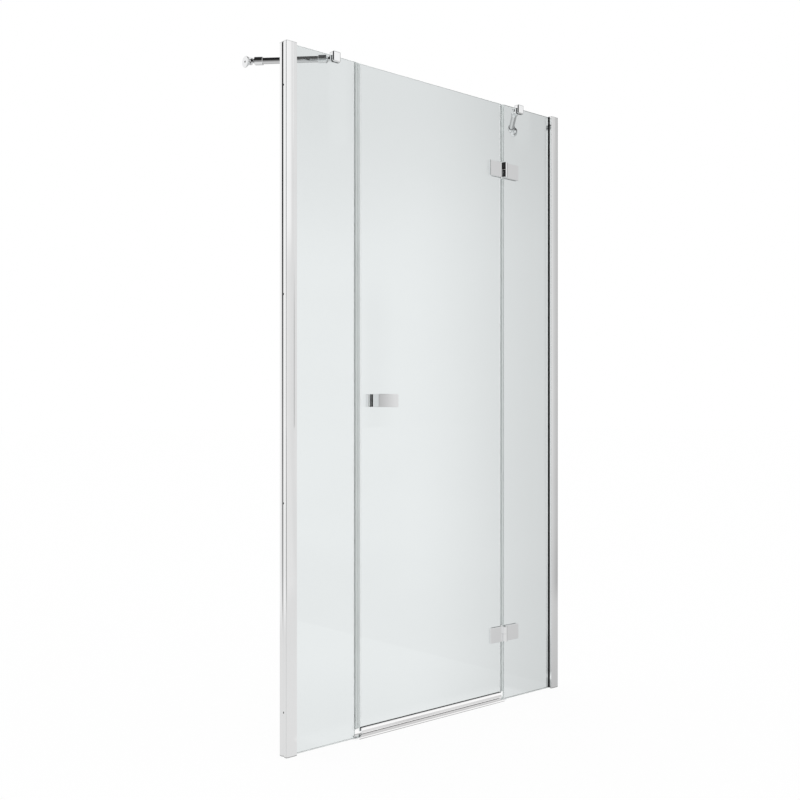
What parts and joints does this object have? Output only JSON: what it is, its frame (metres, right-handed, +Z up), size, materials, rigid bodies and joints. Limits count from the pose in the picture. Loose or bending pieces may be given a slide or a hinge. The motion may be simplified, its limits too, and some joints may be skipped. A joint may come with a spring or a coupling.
{
  "type": "hinged shower door with two fixed panels",
  "caption": "Recess shower front: a glass door swings outward on glass-to-glass hinges between fixed panes in polished wall profiles, braced to the side walls by short arms.",
  "frame": {"origin": "on the tray, half way between the side walls, under the middle plane of the glass", "axes": "+X from the left to the right wall as seen from outside, +Y through the glass into the shower, +Z up"},
  "size_m": [1.13, 0.2435, 1.96],
  "materials": {
    "wall_channel_left": "polished",
    "wall_channel_right": "polished",
    "glazing_profile_left": "polished",
    "glazing_profile_right": "polished",
    "profile_cap_left": "polished",
    "profile_cap_right": "polished",
    "profile_fixing_screws": "machined",
    "glazing_gaskets_left": "satin",
    "glazing_gaskets_right": "satin",
    "fixed_glass_left": "clear",
    "fixed_glass_right": "clear",
    "glass_foot_seals": "translucent",
    "fixed_magnet_seal": "translucent",
    "fixed_magnet_strip": "satin",
    "threshold": "polished",
    "threshold_end_caps": "polished",
    "upper_hinge_fixed_leaf": "polished",
    "lower_hinge_fixed_leaf": "polished",
    "upper_hinge_fixed_clamp": "polished",
    "lower_hinge_fixed_clamp": "polished",
    "hinge_fixed_pads": "satin",
    "hinge_fixed_screws": "machined",
    "hinge_fixed_sleeves": "satin",
    "hinge_pins": "machined",
    "hinge_washers": "satin",
    "glass_clamp_left": "polished",
    "glass_clamp_right": "polished",
    "clamp_liners": "translucent",
    "clamp_grub_screws": "machined",
    "clamp_pivot_pins": "machined",
    "door_glass": "clear",
    "upper_hinge_door_leaf": "polished",
    "lower_hinge_door_leaf": "polished",
    "upper_hinge_door_clamp": "polished",
    "lower_hinge_door_clamp": "polished",
    "hinge_door_pads": "satin",
    "hinge_door_screws": "machined",
    "hinge_door_sleeves": "satin",
    "hinge_bushes": "satin",
    "hinge_side_seal": "translucent",
    "door_magnet_seal": "translucent",
    "door_magnet_strip": "satin",
    "door_rail": "polished",
    "drip_seal": "translucent",
    "door_rail_end_caps": "polished",
    "handle_outer": "polished",
    "handle_inner": "polished",
    "handle_gaskets": "satin",
    "handle_studs": "machined",
    "handle_sleeves": "satin",
    "left_arm_tube": "polished",
    "left_arm_glass_end": "polished",
    "left_arm_wall_end": "polished",
    "left_rosette": "polished",
    "left_rosette_pin": "machined",
    "right_arm_tube": "polished",
    "right_arm_glass_end": "polished",
    "right_arm_wall_end": "polished",
    "right_rosette": "polished",
    "right_rosette_pin": "machined"
  },
  "bodies": {
    "frame": {"wall_channel_left": "wall_channel_left", "wall_channel_right": "wall_channel_right", "glazing_profile_left": "glazing_profile_left", "glazing_profile_right": "glazing_profile_right", "profile_cap_left": "profile_cap_left", "profile_cap_right": "profile_cap_right", "profile_fixing_screws": "profile_fixing_screws", "glazing_gaskets_left": "glazing_gaskets_left", "glazing_gaskets_right": "glazing_gaskets_right", "fixed_glass_left": "fixed_glass_left", "fixed_glass_right": "fixed_glass_right", "glass_foot_seals": "glass_foot_seals", "fixed_magnet_seal": "fixed_magnet_seal", "fixed_magnet_strip": "fixed_magnet_strip", "threshold": "threshold", "threshold_end_caps": "threshold_end_caps", "upper_hinge_fixed_leaf": "upper_hinge_fixed_leaf", "lower_hinge_fixed_leaf": "lower_hinge_fixed_leaf", "upper_hinge_fixed_clamp": "upper_hinge_fixed_clamp", "lower_hinge_fixed_clamp": "lower_hinge_fixed_clamp", "hinge_fixed_pads": "hinge_fixed_pads", "hinge_fixed_screws": "hinge_fixed_screws", "hinge_fixed_sleeves": "hinge_fixed_sleeves", "hinge_pins": "hinge_pins", "hinge_washers": "hinge_washers", "glass_clamp_left": "glass_clamp_left", "glass_clamp_right": "glass_clamp_right", "clamp_liners": "clamp_liners", "clamp_grub_screws": "clamp_grub_screws", "clamp_pivot_pins": "clamp_pivot_pins"},
    "door": {"door_glass": "door_glass", "upper_hinge_door_leaf": "upper_hinge_door_leaf", "lower_hinge_door_leaf": "lower_hinge_door_leaf", "upper_hinge_door_clamp": "upper_hinge_door_clamp", "lower_hinge_door_clamp": "lower_hinge_door_clamp", "hinge_door_pads": "hinge_door_pads", "hinge_door_screws": "hinge_door_screws", "hinge_door_sleeves": "hinge_door_sleeves", "hinge_bushes": "hinge_bushes", "hinge_side_seal": "hinge_side_seal", "door_magnet_seal": "door_magnet_seal", "door_magnet_strip": "door_magnet_strip", "door_rail": "door_rail", "drip_seal": "drip_seal", "door_rail_end_caps": "door_rail_end_caps", "handle_outer": "handle_outer", "handle_inner": "handle_inner", "handle_gaskets": "handle_gaskets", "handle_studs": "handle_studs", "handle_sleeves": "handle_sleeves"},
    "left_arm": {"left_arm_tube": "left_arm_tube", "left_arm_glass_end": "left_arm_glass_end", "left_arm_wall_end": "left_arm_wall_end"},
    "left_rosette": {"left_rosette": "left_rosette", "left_rosette_pin": "left_rosette_pin"},
    "right_arm": {"right_arm_tube": "right_arm_tube", "right_arm_glass_end": "right_arm_glass_end", "right_arm_wall_end": "right_arm_wall_end"},
    "right_rosette": {"right_rosette": "right_rosette", "right_rosette_pin": "right_rosette_pin"}
  },
  "joints": [
    {"name": "door_swing", "type": "hinge", "parent": "frame", "child": "door", "pos_m": [0.304, -0.012, 0.217], "axis": [0, 0, 1], "range_deg": [0, 110]},
    {"name": "left_arm_swivel", "type": "hinge", "parent": "frame", "child": "left_arm", "pos_m": [-0.3855, 0.02, 1.945], "axis": [0, 0, 1], "range_deg": [-40, 30]},
    {"name": "left_rosette_swivel", "type": "hinge", "parent": "left_arm", "child": "left_rosette", "pos_m": [-0.547, 0.188, 1.945], "axis": [0, 0, 1], "range_deg": [-38, 38]},
    {"name": "right_arm_swivel", "type": "hinge", "parent": "frame", "child": "right_arm", "pos_m": [0.3855, 0.02, 1.945], "axis": [0, 0, 1], "range_deg": [-30, 40]},
    {"name": "right_rosette_swivel", "type": "hinge", "parent": "right_arm", "child": "right_rosette", "pos_m": [0.547, 0.188, 1.945], "axis": [0, 0, 1], "range_deg": [-38, 38]}
  ]
}
